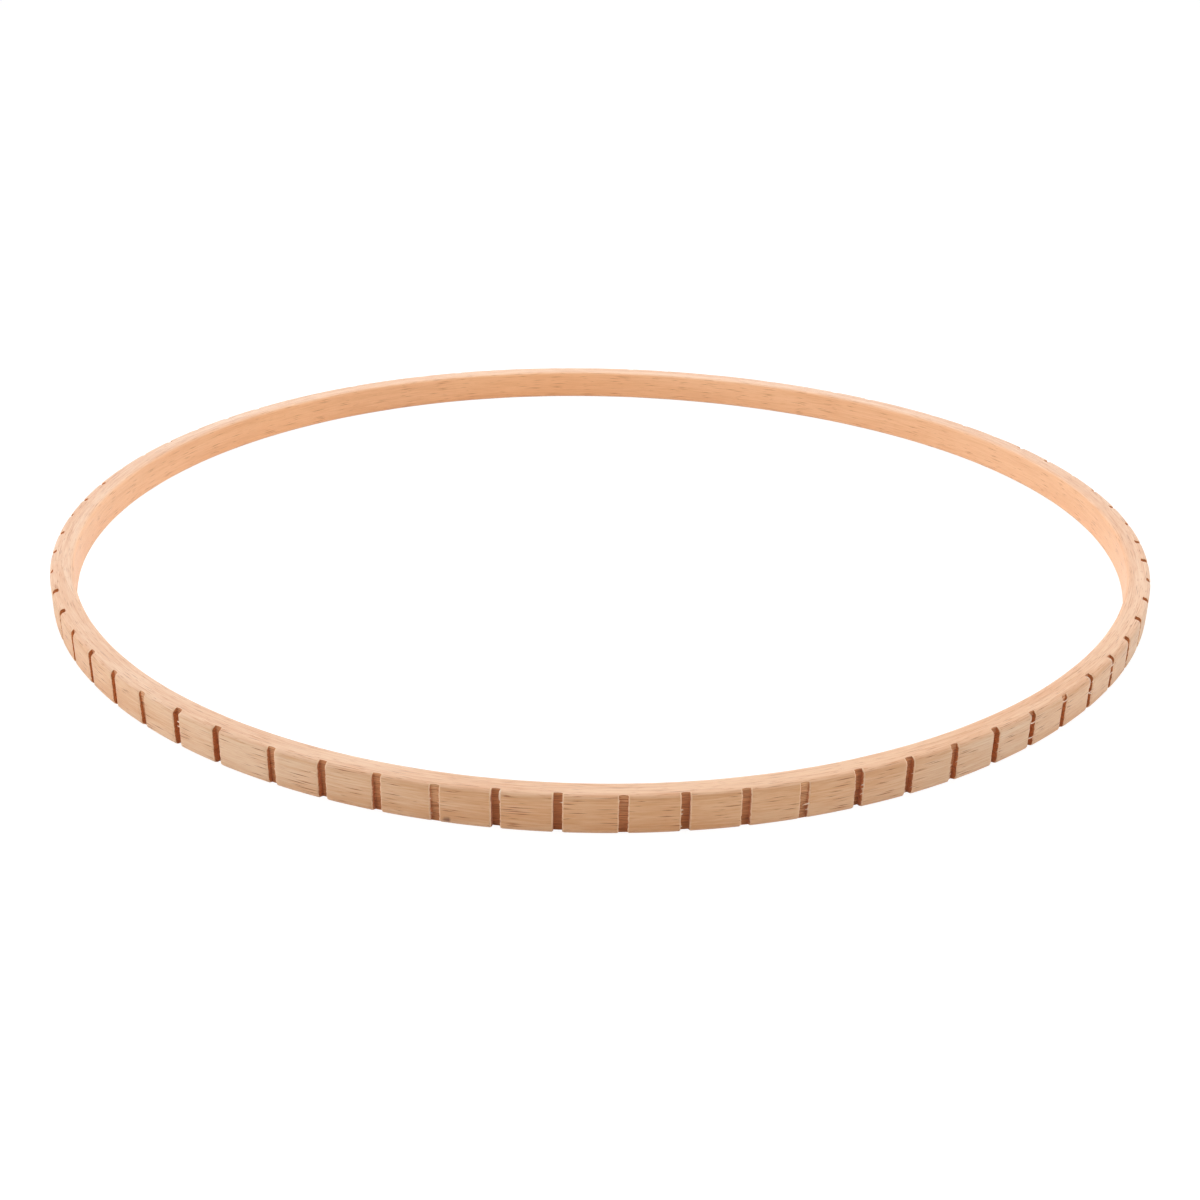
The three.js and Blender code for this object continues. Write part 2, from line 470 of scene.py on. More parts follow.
def new_object(name, points, faces):
    """A smooth-shaded mesh object. Points are in millimetres."""
    mesh = bpy.data.meshes.new(name)
    mesh.from_pydata((np.asarray(points) * MM).tolist(), [], faces)
    mesh.polygons.foreach_set("use_smooth", np.ones(len(mesh.polygons), bool))
    mesh.set_sharp_from_angle(angle=math.radians(SHARP_ANGLE))
    mesh.update()
    piece = bpy.data.objects.new(name, mesh)
    bpy.context.scene.collection.objects.link(piece)
    return piece


def add_attribute(piece, name, kind, domain, values):
    attribute = piece.data.attributes.new(name, kind, domain)
    field = "vector" if kind == "FLOAT_VECTOR" else "value"
    attribute.data.foreach_set(field, np.ascontiguousarray(values, np.float32).ravel())


def add_map(piece, name, corners):
    layer = piece.data.uv_layers.new(name=name)
    layer.data.foreach_set("uv", np.ascontiguousarray(corners, np.float32).ravel())


def grain_corners(sweep, faces):
    """Distance along the lath, round its section and below its face, for each corner of each face."""
    turns = faces.rows // ROWS
    rows = faces.rows % ROWS
    along = (sweep.along + sweep.sideways)[faces.stations, rows]
    girth = sweep.length[faces.stations, rows] + 2 * sweep.section.half * turns
    depth = sweep.depth[faces.stations, rows]
    return np.stack([along, girth, depth], axis=-1)[corner_mask(faces)]


def cap_grain(sweep, number, rows):
    """The same three distances round a lap's blunt end, with its height in place of the way round."""
    depth = sweep.depth[number, rows]
    along = sweep.along[number] + 0 * depth
    return np.stack([along, sweep.height[number, rows], depth], axis=-1)


def map_corners(sweep, points, faces):
    """The sweep unrolled into a few level bands, with room for the walls of the cuts."""
    steps = np.linalg.norm(np.diff(points, axis=0), axis=2).max(axis=1)
    across = np.concatenate([[0.0], np.cumsum(steps)])
    girth = np.linspace(0.0, 2 * sweep.section.half, ROWS + 1)
    band_width = across[-1] / MAP_BANDS
    band = np.minimum(across[faces.stations.min(axis=1)] // band_width, MAP_BANDS - 1)[:, None]
    longest_step = steps.max()
    u = across[faces.stations] - band * band_width + MAP_MARGIN
    v = girth[faces.rows] + band * (girth[-1] + MAP_MARGIN) + MAP_MARGIN
    wide = band_width + longest_step + 2 * MAP_MARGIN
    high = MAP_BANDS * (girth[-1] + MAP_MARGIN) + LATH_HEIGHT + 2 * MAP_MARGIN
    return np.stack([u, v], axis=-1)[corner_mask(faces)] / max(wide, high), max(wide, high)


def cap_corners(sweep, number, rows, size, left):
    """A lap's blunt end on the texture map, above the bands."""
    base = MAP_BANDS * (2 * sweep.section.half + MAP_MARGIN) + MAP_MARGIN
    u = left + sweep.depth[number, rows]
    v = base + sweep.height[number, rows]
    return np.stack([u, v], axis=-1) / size


def outer_faces(faces):
    """True on the rows that the saw reaches."""
    return (faces.rows.min(axis=1) >= SIDE_ROWS) & (faces.rows.max(axis=1) <= OUTER_END)


def sawn_faces(sweep, faces):
    """1 on the walls and floors of the cuts."""
    sunk = sweep.sunk[:, 0][faces.stations].max(axis=1)
    return ((sunk > 0.0) & outer_faces(faces)).astype(float)


def wall_faces(sweep, faces):
    """1 on the walls of the cuts only."""
    sunk = sweep.sunk[:, 0][faces.stations].min(axis=1)
    return sawn_faces(sweep, faces) * (sunk < 1.0)


def arris_faces(sweep, faces):
    """1 on the broken edges beside the cuts."""
    broken = sweep.arris[:, 0][faces.stations].max(axis=1)
    return broken * outer_faces(faces) * (1.0 - sawn_faces(sweep, faces))


def bruise(sweep):
    """How much of the bruise is at each point, from 0 to 1."""
    along = np.radians(sweep.plan - BRUISE_ANGLE) * HOOP_RADIUS / BRUISE_LENGTH
    upward = (sweep.height - BRUISE_HEIGHT) / BRUISE_SPREAD
    near_face = sweep.depth < LATH_THICKNESS / 2
    return np.exp(-(along**2) - upward**2) * near_face * (1.0 - sweep.sunk)


# How warm the outer face, the inner face and the rims are: 1 is warm, less than 0 is paler than plain.
# Each has lengths of warmer or paler colour: the angle and the spread of each, and by how much. These
# lengths are painted light: the paler ones paint the sheen of the side light, and the warmer ones paint
# shade.
FACE_WARMTH = (0.6, 0.75, 0.32)
OUTER_LIGHT_PATCHES = (
    (236.0, 20.0, -0.75),
    (246.0, 8.0, -0.25),
    (274.0, 10.0, 0.2),
    (306.0, 10.0, -1.2),
    (335.0, 12.0, -1.0),
)
INNER_LIGHT_PATCHES = (
    (25.0, 30.0, -0.25),
    (100.0, 15.0, 0.3),
    (140.0, 12.0, 0.25),
)
RIM_LIGHT_PATCHES = (
    (45.0, 35.0, -0.35),
    (150.0, 18.0, -0.3),
    (298.0, 50.0, 0.5),
)


def painted_light_warmth(sweep):
    """How warm the wood is painted at each point, with the painted sheen and shade of the patches on top
    of each face's own warmth.
    """
    near_face = sweep.depth < LATH_THICKNESS / 2
    side = 1.0 - sweep.flat
    shares = (side * near_face, side * ~near_face, sweep.flat)
    total = 0.0
    for warm, patches, share in zip(FACE_WARMTH, (OUTER_LIGHT_PATCHES, INNER_LIGHT_PATCHES, RIM_LIGHT_PATCHES), shares):
        for angle, spread, more in patches:
            turn = (sweep.plan - angle + FULL_TURN / 2) % FULL_TURN - FULL_TURN / 2
            warm = warm + more * np.exp(-((turn / spread) ** 2))
        total = total + warm * share
    return total


def hoop_piece(cuts):
    """The bent lath with its cuts and laps, and what its material reads."""
    sweep = Sweep(lath_stations(cuts), cuts)
    dark = bruise(sweep)
    sweep.depth = sweep.depth + BRUISE_DENT * dark
    points = sweep.points()
    index = sweep.index()
    faces = sweep_faces(index)
    last = len(sweep.stations) - 1
    caps = [(0, np.arange(ROWS)), (last, np.arange(ROWS)[::-1])]
    used, renumbered = np.unique(index, return_inverse=True)
    number = np.zeros(index.size, int)
    number[index.ravel()] = renumbered.ravel()
    polygons = [number[row[:sides]].tolist() for row, sides in zip(faces.vertices, faces.sides)]
    polygons += [number[index[station, rows]].tolist() for station, rows in caps]
    piece = new_object("beech_hoop", points.reshape(-1, 3)[used], polygons)

    grain = [grain_corners(sweep, faces), *(cap_grain(sweep, *cap) for cap in caps)]
    add_attribute(piece, "grain", "FLOAT_VECTOR", "CORNER", np.concatenate(grain))
    layout, size = map_corners(sweep, points, faces)
    lefts = (MAP_MARGIN, 2 * LATH_HEIGHT)
    layout = [layout, *(cap_corners(sweep, *cap, size, left) for cap, left in zip(caps, lefts))]
    add_map(piece, BAKE_MAP, np.concatenate(layout))
    on_faces = (("sawn", sawn_faces, 1.0), ("wall", wall_faces, 0.0), ("arris", arris_faces, 0.0))
    for name, values_of, on_cap in on_faces:
        values = np.append(values_of(sweep, faces), [on_cap] * len(caps))
        add_attribute(piece, name, "FLOAT", "FACE", values)
    for name, values in (("flat", sweep.flat), ("bruise", dark), ("painted_light_warmth", painted_light_warmth(sweep))):
        add_attribute(piece, name, "FLOAT", "POINT", values.ravel()[used])
    return piece


def strip_faces(loops, base=0, forward=True):
    """Faces of a strip of loops, closed at both ends. Its first point has the number base."""
    steps, count = loops.shape[:2]
    order = list(range(count)) if forward else list(range(count))[::-1]
    faces = []
    for step in range(steps - 1):
        low = base + count * step
        high = low + count
        for first, second in zip(order, order[1:] + order[:1]):
            faces.append([low + first, low + second, high + second, high + first])
    tip = base + count * (steps - 1)
    faces.append([base + corner for corner in reversed(order)])
    faces.append([tip + corner for corner in order])
    return faces


def scarf_path():
    """Angle and depth along the glue film, from the outer face to the inner face."""
    slope_end = LATH_THICKNESS - INNER_NIB_DEPTH
    outer = [(scarf_start, depth) for depth in np.linspace(0.0, outer_nib_depth, NIB_STEPS)]
    slope = np.linspace((scarf_start, outer_nib_depth), (scarf_end, slope_end), SLOPE_STEPS)[1:-1]
    inner = [(scarf_end, depth) for depth in np.linspace(slope_end, LATH_THICKNESS, NIB_STEPS)]
    return np.concatenate([outer, slope, inner])


def glue_piece():
    """The glue film on the scarf, a little shrunk below the face of the wood."""
    section = Section()
    path = scarf_path()
    plan = np.stack([np.radians(path[:, 0]) * HOOP_RADIUS, path[:, 1]], axis=1)
    way = np.gradient(plan, axis=0)
    way = way / np.linalg.norm(way, axis=1)[:, None]
    side = np.stack([-way[:, 1], way[:, 0]], axis=1) * GLUE_THICKNESS / 2
    share = np.linspace(0.0, 1.0, GLUE_ROWS)
    loops = []
    for sign in (1.0, -1.0):
        along = plan[:, 0] + sign * side[:, 0]
        depth = np.clip(plan[:, 1] + sign * side[:, 1], GLUE_SHRINKAGE, LATH_THICKNESS - GLUE_SHRINKAGE)
        _, top = section.point(section.length_to(depth))
        top = top - GLUE_SHRINKAGE
        height = (LATH_HEIGHT - top)[:, None] + (2 * top - LATH_HEIGHT)[:, None] * share
        angle = np.degrees(along / HOOP_RADIUS)[:, None]
        loops.append(places(angle, 0 * angle, depth[:, None], height))
    loop = np.concatenate([loops[0], loops[1][:, ::-1]], axis=1)
    return new_object("glue_film", loop.reshape(-1, 3), strip_faces(loop))


# Torn fibres. Each row below gives the gang and blade of its cut, and then the fibre's own values.
RIGHT, LEFT = 1.0, -1.0
FIBRE_ROOT = 0.3
FIBRE_DEPTH = 0.1
FIBRE_SLACK = 0.08
FIBRE_STEPS = 7
FIBRE_THICKNESS = 0.14
FIBRE_TAPER = 0.94
FIBRE_CHANCE = 0.55
FIBRE_MOST = 3
ANGLE_DIGITS = 2
STRAY_REACH = (0.1, 0.42)
STRAY_DROOP = (-0.3, 0.15)
STRAY_WIDTH = (0.14, 0.3)
LONG_FIBRES = (
    (7, 2, RIGHT, 6.55, 1.05, -0.3, 0.32),
    (7, 2, RIGHT, 2.8, 1.05, -0.15, 0.3),
    (7, 3, RIGHT, 7.4, 1.05, -0.3, 0.3),
    (7, 4, RIGHT, 7.2, 0.45, -0.2, 0.34),
    (7, 4, RIGHT, 5.0, 1.05, -0.4, 0.36),
    (7, 4, RIGHT, 4.1, 0.6, 0.3, 0.34),
    (7, 5, RIGHT, 6.7, 1.05, -0.1, 0.34),
    (7, 5, RIGHT, 4.4, 1.05, 0.2, 0.34),
    (8, 0, RIGHT, 2.5, 1.05, -0.2, 0.36),
    (8, 0, LEFT, 1.8, 0.6, 0.1, 0.36),
    (6, 4, RIGHT, 5.6, 0.26, -0.1, 0.4),
    (6, 4, RIGHT, 4.7, 0.2, -0.1, 0.34),
    (6, 4, RIGHT, 3.6, 0.3, -0.2, 0.4),
    (6, 3, RIGHT, 3.7, 0.68, -0.3, 0.4),
    (6, 3, RIGHT, 2.4, 0.32, -0.1, 0.3),
    (4, 4, RIGHT, 6.4, 0.3, -0.1, 0.5),
    (4, 4, RIGHT, 5.3, 0.34, -0.1, 0.4),
    (6, 1, LEFT, 5.4, 0.24, -0.1, 0.5),
    (6, 1, LEFT, 4.4, 0.2, 0.0, 0.4),
    (6, 1, LEFT, 1.6, 0.16, 0.0, 0.4),
)


class Fibre(NamedTuple):
    """A torn fibre: which side of the cut it stands on, and how far it reaches across."""

    angle: float
    side: float
    height: float
    reach: float
    droop: float
    width: float


def long_fibres():
    """The longer fibres that show at the front and right of the hoop."""
    return [Fibre(cut_angle(gang, blade), *values) for gang, blade, *values in LONG_FIBRES]


def stray_fibres(cuts):
    """Shorter fibres on the other cuts."""
    random = np.random.default_rng(SEED)
    taken = {round(fibre.angle, ANGLE_DIGITS) for fibre in long_fibres()}
    fibres = []
    for angle, _ in cuts:
        count = random.integers(0, FIBRE_MOST + 1) if random.random() < FIBRE_CHANCE else 0
        for _ in range(count):
            side = random.choice([LEFT, RIGHT])
            height = random.uniform(OUTER_EDGE_RADIUS, LATH_HEIGHT - OUTER_EDGE_RADIUS)
            reach = random.uniform(*STRAY_REACH)
            droop = random.uniform(*STRAY_DROOP)
            width = random.uniform(*STRAY_WIDTH)
            if round(angle % FULL_TURN, ANGLE_DIGITS) not in taken:
                fibres.append(Fibre(angle, side, height, reach, droop, width))
    return fibres


def strip_corners(half_thick, half_width):
    """The four corners of a strip's section: how far each is sunk, and how far it is to one side."""
    return [(-half_thick, 0.0), (0.0, half_width), (half_thick, 0.0), (0.0, -half_width)]


def fibre_points(fibre):
    """Loops of four points along a fibre, from inside the wood to its tip."""
    share = np.linspace(0.0, 1.0, FIBRE_STEPS)
    start = half_kerf + FIBRE_ROOT
    offset = fibre.side * (start - (fibre.reach * KERF_WIDTH + FIBRE_ROOT) * share)
    bridging = fibre.reach > 1.0
    slack = np.sin(math.pi * share) if bridging else share**2
    over_edge = max(0.0, fibre.height - (LATH_HEIGHT - OUTER_EDGE_RADIUS))
    edge_depth = OUTER_EDGE_RADIUS - math.sqrt(OUTER_EDGE_RADIUS**2 - over_edge**2)
    depth = edge_depth + FIBRE_DEPTH + FIBRE_SLACK * slack
    height = fibre.height + fibre.droop * slack
    thin = np.ones_like(share) if bridging else np.sqrt(1.0 - FIBRE_TAPER * share)
    corners = strip_corners(FIBRE_THICKNESS / 2 * thin, fibre.width / 2 * thin)
    loops = [places(fibre.angle, offset, depth + sunk, height + up) for sunk, up in corners]
    return np.stack(loops, axis=1)


# Strips of torn wood along one edge of a cut, from a height up to the rim.
# Each row gives the gang and blade of its cut, its side, the height of its lower end and its width.
LIP_DEPTH = 0.08
LIP_THICKNESS = 0.24
LIP_STEPS = 17
LIP_THINNEST = 0.25
LIPS = (
    (5, 4, RIGHT, 6.9, 0.36),
    (7, 2, LEFT, 6.9, 0.4),
    (7, 4, LEFT, 6.1, 0.6),
    (7, 5, LEFT, 6.5, 0.56),
)


def lip_points(gang, blade, side, low, width):
    """Loops of four points along a lip, from its lower end to the end of the cut on the rim."""
    section = Section()
    angle = cut_angle(gang, blade)
    depth_at_head = BLADE_DEPTHS[blade] + GANG_DEPTHS[gang] - CUT_LEAN / 2
    share = np.linspace(0.0, 1.0, LIP_STEPS)
    length = np.interp(share, [0.0, 1.0], [low - LATH_HEIGHT / 2, section.length_to(depth_at_head)])
    depth, height = section.point(length)
    depth_part, height_part = section.inward(length)
    thin = LIP_THINNEST + (1.0 - LIP_THINNEST) * np.sqrt(np.sin(math.pi * share))
    loops = []
    for sink, along in strip_corners(LIP_THICKNESS / 2 * thin, width / 2 * thin):
        sunk = LIP_DEPTH + sink
        offset = side * half_kerf + along
        loops.append(places(angle, offset, depth + sunk * depth_part, height + sunk * height_part))
    return np.stack(loops, axis=1)


def fibre_piece(cuts):
    """All torn fibres and lips as one piece, each rooted in the wood beside its cut."""
    strips = [(fibre_points(fibre), fibre.side > 0) for fibre in long_fibres() + stray_fibres(cuts)]
    strips += [(lip_points(*lip), True) for lip in LIPS]
    points = []
    polygons = []
    for loops, forward in strips:
        polygons += strip_faces(loops, len(points), forward)
        points += loops.reshape(-1, 3).tolist()
    return new_object("saw_fibres", points, polygons)


# The Mix node's sockets for colours
MIX_FIRST, MIX_SECOND, MIX_RESULT = 6, 7, 2


class Nodes:
    """Short names for the nodes and links of a material or a world."""

    def __init__(self, owner):
        owner.use_nodes = True
        self.tree = owner.node_tree

    def node(self, kind, *values, **settings):
        """A new node, with values or links for its first inputs."""
        node = self.tree.nodes.new(kind)
        for name, value in settings.items():
            setattr(node, name, value)
        for value, socket in zip(values, node.inputs):
            self.put(value, socket)
        return node

    def put(self, value, socket):
        """Links an output to a socket, or sets a plain value on it."""
        if isinstance(value, bpy.types.NodeSocket):
            self.tree.links.new(value, socket)
        else:
            socket.default_value = value

    def maths(self, operation, first, second):
        return self.node("ShaderNodeMath", first, second, operation=operation).outputs[0]

    def times(self, first, second):
        return self.maths("MULTIPLY", first, second)

    def ramp(self, value, low, high, start=0.0, end=1.0):
        """A smooth step between two values."""
        values = (value, low, high, start, end)
        return self.node("ShaderNodeMapRange", *values, interpolation_type="SMOOTHSTEP").outputs[0]

    def between(self, share, ends):
        """A value that goes smoothly from one end to the other as a share goes from 0 to 1."""
        return self.ramp(share, 0.0, 1.0, *ends)

    def part(self, vector, axis):
        return self.node("ShaderNodeSeparateXYZ", vector).outputs[axis]

    def mix(self, share, first, second, blend="MIX"):
        """A share below 0 goes past the first colour, away from the second."""
        node = self.node("ShaderNodeMix", data_type="RGBA", blend_type=blend, clamp_factor=False)
        self.put(share, node.inputs[0])
        self.put(first, node.inputs[MIX_FIRST])
        self.put(second, node.inputs[MIX_SECOND])
        return node.outputs[MIX_RESULT]


class Shader(Nodes):
    """The nodes of one material, and what they read from the lath."""

    def __init__(self, name):
        self.material = bpy.data.materials.new(name)
        super().__init__(self.material)
        self.surface = self.tree.nodes["Principled BSDF"]

    def give(self, name, value):
        """Links or sets one input of the surface."""
        self.put(value, self.surface.inputs[name])

    def attribute(self, name, output="Fac"):
        return self.node("ShaderNodeAttribute", attribute_name=name).outputs[output]

    def grain(self, along, girth, depth=8.0):
        """Lath coordinates, counted in features of the given length, height and depth."""
        place = self.attribute("grain", "Vector")
        scale = (1 / along, 1 / girth, 1 / depth)
        return self.node("ShaderNodeVectorMath", place, scale, operation="MULTIPLY").outputs[0]

    def depth(self, low, high):
        """A smooth step between two depths below the outer face."""
        return self.ramp(self.part(self.attribute("grain", "Vector"), "Z"), low, high)

    def place(self):
        return self.node("ShaderNodeTexCoord").outputs["Object"]

    def height(self, low, high, end):
        """A smooth step from 0 between two heights above the foot of the piece."""
        return self.ramp(self.part(self.place(), "Z"), low * MM, high * MM, end=end)

    def noise(self, vector, detail=2.0, roughness=0.5, distortion=0.0, scale=1.0):
        node = self.node("ShaderNodeTexNoise", vector)
        levels = {"Scale": scale, "Detail": detail, "Roughness": roughness, "Distortion": distortion}
        for name, level in levels.items():
            node.inputs[name].default_value = level
        return node.outputs[0]

    def bump(self, height, distance):
        node = self.node("ShaderNodeBump")
        node.inputs["Strength"].default_value = 1.0
        node.inputs["Distance"].default_value = distance * MM
        self.put(height, node.inputs["Height"])
        self.give("Normal", node.outputs[0])


# The standard curve from a colour as it shows to the renderer's own numbers: straight, then a power
CURVE_TOP = 255
CURVE_STRAIGHT_END = 0.04045
CURVE_STRAIGHT = 12.92
CURVE_OFFSET = 0.055
CURVE_POWER = 2.4


def linear(*shown):
    """A colour written as it shows, from 0 to 255, as the renderer's own numbers."""
    parts = []
    for value in shown:
        part = value / CURVE_TOP
        if part <= CURVE_STRAIGHT_END:
            parts.append(part / CURVE_STRAIGHT)
        else:
            parts.append(((part + CURVE_OFFSET) / (1.0 + CURVE_OFFSET)) ** CURVE_POWER)
    return (*parts, 1.0)


def grey(level):
    return (level, level, level, 1.0)


WHITE = grey(1.0)
SIDE_PALE = linear(246, 205, 167)
SIDE_DEEP = linear(232, 179, 133)
# The inner and rim colours are lit copies of the side colours, painted paler for the extra light on the
# inner face and on the rims.
INNER_LIT_PALE = linear(248, 200, 160)
INNER_LIT_DEEP = linear(240, 188, 146)
RIM_LIT_PALE = linear(254, 219, 191)
RIM_LIT_DEEP = linear(242, 194, 158)
WARM_TINT = (1.0, 0.86, 0.7, 1.0)
FLECK_BROWN = linear(160, 74, 12)
LINE_BROWN = linear(208, 134, 82)
# Cut colours: the sawn wood's own colour, with painted shade that darkens and reddens the floors with
# depth and darkens the walls.
SAWN_SHALLOW = linear(244, 188, 138)
SAWN_DEEP_SHADED = linear(228, 157, 105)
SAWN_WALL_SHADED = linear(230, 148, 86)
SAWN_BROWN = linear(188, 118, 70)
SAWN_DARK = linear(126, 72, 42)
# Pale edges beside the cuts: partly worn wood, partly a painted highlight where the edges catch the
# light.
ARRIS_PALE = linear(254, 212, 172)
BRUISE_BROWN = linear(118, 68, 48)
FIBRE_PALE = linear(254, 228, 204)
FIBRE_TAN = linear(246, 206, 172)
GLUE_AMBER = linear(238, 192, 150)
GLUE_BROWN = linear(226, 176, 130)

# Patterns of the wood. A size is along the lath, round its section and, where it matters, in depth.
# A range is where a pattern starts and where it is full. A strength is on the sides and on the rims.
FLAT_RANGE = (0.35, 0.95)
BAND_SIZE = (48.0, 5.0)
BAND_SHARE = 0.45
STREAK_SIZE = (8.0, 0.34)
STREAK_SHARE = 0.55
TONE_RANGE = (0.38, 0.62)
LINE_SIZE = (14.0, 0.28)
LINE_RANGE = (0.5, 0.72)
LINE_STRENGTH = (0.3, 0.5)
FLECK_SIZE = (11.0, 0.46)
FLECK_SHARE = 0.7
FLECK_STRENGTH = (0.85, 0.55)
DASH_SIZE = (6.0, 0.3)
DASH_SHARE = 0.8
DASH_STRENGTH = (0.4, 0.75)
FLECK_SCALES = (0.5, 1.3)
FLECK_EDGE = (0.12, 0.22)
WOBBLE_SIZE = (9.0, 2.0)
WOBBLE = 0.6
INNER_FLECKS = 0.65
SAWN_SHADE_DEPTHS = (0.55, 1.25)
SAWN_LINE_SIZE = (5.0, 0.16, 0.5)
SAWN_LINE_RANGE = (0.42, 0.6)
SAW_MARK_SIZE = (9.0, 0.34, 2.0)
SAW_MARK_RANGE = (0.6, 0.7)
SAW_MARK_STRENGTH = 0.35
WEAR_AND_GLINT_SIZE = (3.0, 0.5)
WEAR_AND_GLINT_RANGE = (0.3, 0.6)
WEAR_AND_GLINT_STRENGTH = (0.3, 0.9)
WORN_AND_LIT_TOP = (6.6, 8.0)
WORN_AND_LIT_TOP_STRENGTH = 0.95
BRUISE_RANGE = (0.12, 0.75)
BRUISE_STRENGTH = 0.95

# Roughness, relief and gloss
PORE_SIZE = (2.6, 0.09, 0.4)
PORE_RANGE = (0.3, 0.7)
PORE_RELIEF = 0.05
FLECK_RELIEF = 0.06
BEECH_ROUGHNESS = (0.52, 0.68)
SAWN_ROUGHER = 0.14
BEECH_GLOSS = 0.4
BEECH_SHEEN = 0.32
BEECH_SHEEN_SPREAD = 0.5
SPECK_RANGE = (0.35, 0.65)
FIBRE_SPECKS = 2400.0
FIBRE_DETAIL = 2.0
FIBRE_RELIEF = 0.02
FIBRE_ROUGHNESS = (0.65, 0.8)
FIBRE_SHEEN = 0.5
FIBRE_SHEEN_SPREAD = 0.4
GLUE_SPECKS = 900.0
GLUE_DETAIL = 3.0
GLUE_RELIEF = 0.01
GLUE_ROUGHNESS = (0.4, 0.6)


def wood_tone(shader):
    """Slow bands and fine streaks along the lath, from 0 to 1."""
    bands = shader.noise(shader.grain(*BAND_SIZE))
    streaks = shader.noise(shader.grain(*STREAK_SIZE), detail=3.0, roughness=0.65)
    both = shader.maths("ADD", shader.times(bands, BAND_SHARE), shader.times(streaks, STREAK_SHARE))
    return shader.ramp(both, *TONE_RANGE)


def growth_lines(shader):
    """Thin darker lines that run along the lath."""
    lines = shader.noise(shader.grain(*LINE_SIZE), detail=3.0, roughness=0.62, distortion=0.25)
    return shader.ramp(lines, *LINE_RANGE)


def ray_flecks(shader, cell, share):
    """Short dark spindles along the lath, pointed at both ends. A share of the cells holds one each."""
    wobble = shader.times(shader.noise(shader.grain(*WOBBLE_SIZE), detail=1.0), WOBBLE)
    place = shader.node("ShaderNodeVectorMath", shader.grain(*cell), wobble, operation="ADD").outputs[0]
    kind = {"voronoi_dimensions": "2D", "feature": "F1", "distance": "MANHATTAN"}
    cells = shader.node("ShaderNodeTexVoronoi", place, **kind)
    cells.inputs["Scale"].default_value = 1.0
    chance = shader.node("ShaderNodeSeparateColor", cells.outputs["Color"])
    size = shader.between(chance.outputs[1], FLECK_SCALES)
    distance = shader.maths("DIVIDE", cells.outputs["Distance"], size)
    spindle = shader.ramp(distance, *FLECK_EDGE, start=1.0, end=0.0)
    chosen = shader.ramp(chance.outputs[0], 1.0 - share, 1.0 - share / 2)
    return shader.times(spindle, chosen)


def plain_wood(shader, flecks):
    """The colour of the planed faces: deeper on the sides than on the flat rims, whose paler colour is
    painted light, as is the paler colour of the inner face.
    """
    tone = wood_tone(shader)
    flat = shader.ramp(shader.attribute("flat"), *FLAT_RANGE)
    inner = shader.depth(OUTER_EDGE_RADIUS, LATH_THICKNESS - INNER_EDGE_RADIUS)
    colour = shader.mix(tone, SIDE_PALE, SIDE_DEEP)
    # Painted light: the inner face and the rims get paler copies of the side colour.
    colour = shader.mix(inner, colour, shader.mix(tone, INNER_LIT_PALE, INNER_LIT_DEEP))
    colour = shader.mix(flat, colour, shader.mix(tone, RIM_LIT_PALE, RIM_LIT_DEEP))
    # The tint carries the painted sheen (paler) and painted shade (warmer) of the warmth patches.
    tint = shader.mix(shader.attribute("painted_light_warmth"), WHITE, WARM_TINT)
    colour = shader.mix(1.0, colour, tint, "MULTIPLY")
    lines = shader.times(growth_lines(shader), shader.between(flat, LINE_STRENGTH))
    colour = shader.mix(lines, colour, LINE_BROWN)
    sparse = shader.between(inner, (1.0, INNER_FLECKS))
    flecks = shader.times(shader.times(flecks, shader.between(flat, FLECK_STRENGTH)), sparse)
    colour = shader.mix(flecks, colour, FLECK_BROWN)
    dashes = ray_flecks(shader, DASH_SIZE, DASH_SHARE)
    dashes = shader.times(shader.times(dashes, shader.between(flat, DASH_STRENGTH)), sparse)
    return shader.mix(dashes, colour, LINE_BROWN)


def sawn_wood(shader):
    """The colour of the walls and floors of the cuts, with dark grain across, and painted shade that
    darkens the deeper floors and the walls.
    """
    lines = shader.noise(shader.grain(*SAWN_LINE_SIZE), detail=3.0, roughness=0.65)
    # Painted shade: deeper floors and the walls get darker, redder colours.
    sawn_shaded = shader.mix(shader.depth(*SAWN_SHADE_DEPTHS), SAWN_SHALLOW, SAWN_DEEP_SHADED)
    sawn_shaded = shader.mix(shader.attribute("wall"), sawn_shaded, SAWN_WALL_SHADED)
    colour = shader.mix(shader.ramp(lines, *SAWN_LINE_RANGE), sawn_shaded, SAWN_BROWN)
    marks = shader.noise(shader.grain(*SAW_MARK_SIZE), detail=1.0)
    return shader.mix(shader.ramp(marks, *SAW_MARK_RANGE, end=SAW_MARK_STRENGTH), colour, SAWN_DARK)


